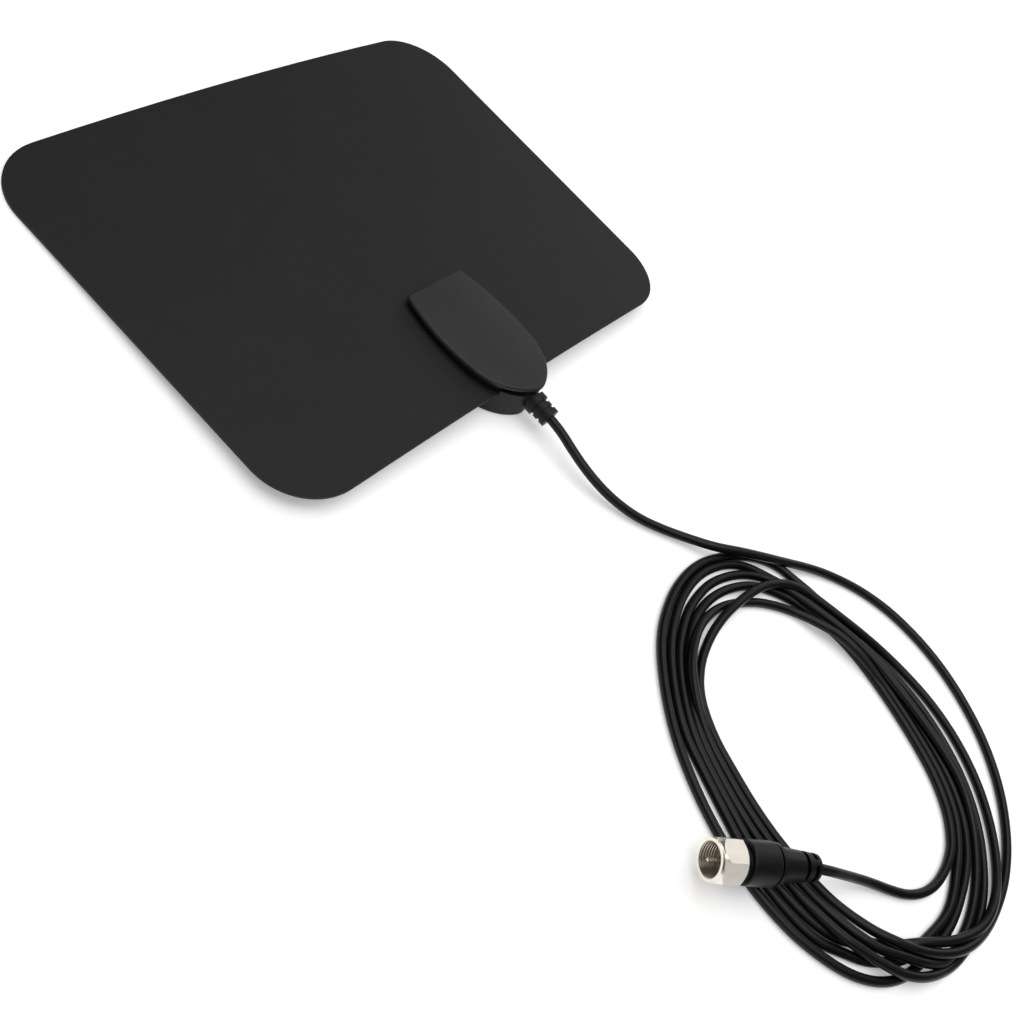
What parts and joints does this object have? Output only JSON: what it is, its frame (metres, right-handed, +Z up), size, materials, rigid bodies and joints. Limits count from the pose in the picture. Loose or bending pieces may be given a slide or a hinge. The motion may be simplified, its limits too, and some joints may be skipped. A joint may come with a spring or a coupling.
{
  "type": "flat indoor tv antenna",
  "caption": "Flat film indoor television antenna with a clamped housing at one edge and a thin coaxial lead, coiled, ending in a screw-on F plug.",
  "frame": {"origin": "on the table under the middle of the sheet and housing together", "axes": "+Z up, +Y from the housing's nose to the far edge of the sheet, +X along the far edge"},
  "size_m": [0.18, 0.3324, 0.0151],
  "materials": {
    "film": "fine matte",
    "foil": "rolled",
    "housing": "satin moulded",
    "board": "lacquered",
    "ferrite": "matte",
    "copper": "drawn",
    "eyelet": "rolled",
    "dielectric": "extruded",
    "boot": "moulded",
    "jacket": "extruded satin",
    "grip": "moulded",
    "plating": "bright plated",
    "pin": "drawn"
  },
  "bodies": {
    "antenna": {"front_film": "film", "rear_film": "film", "element_left": "foil", "element_right": "foil", "top_shell": "housing", "bottom_shell": "housing", "balun_board": "board", "balun_core": "ferrite", "balun_winding": "copper", "eyelet_left": "eyelet", "eyelet_right": "eyelet", "coax_dielectric": "dielectric", "coax_conductor": "copper", "coax_braid": "copper", "strain_relief": "boot", "lead_cord": "jacket", "cord_coil": "jacket", "cord_tail": "jacket", "plug_grip": "grip", "plug_post": "plating", "plug_insulator": "dielectric", "centre_pin": "pin"},
    "nut": {"coupling_nut": "plating"}
  },
  "joints": [
    {"name": "nut_spin", "type": "hinge", "parent": "antenna", "child": "nut", "pos_m": [-0.06347, -0.19057, 0.0092], "axis": [-0.7361, 0.6769, 0], "continuous": true}
  ]
}
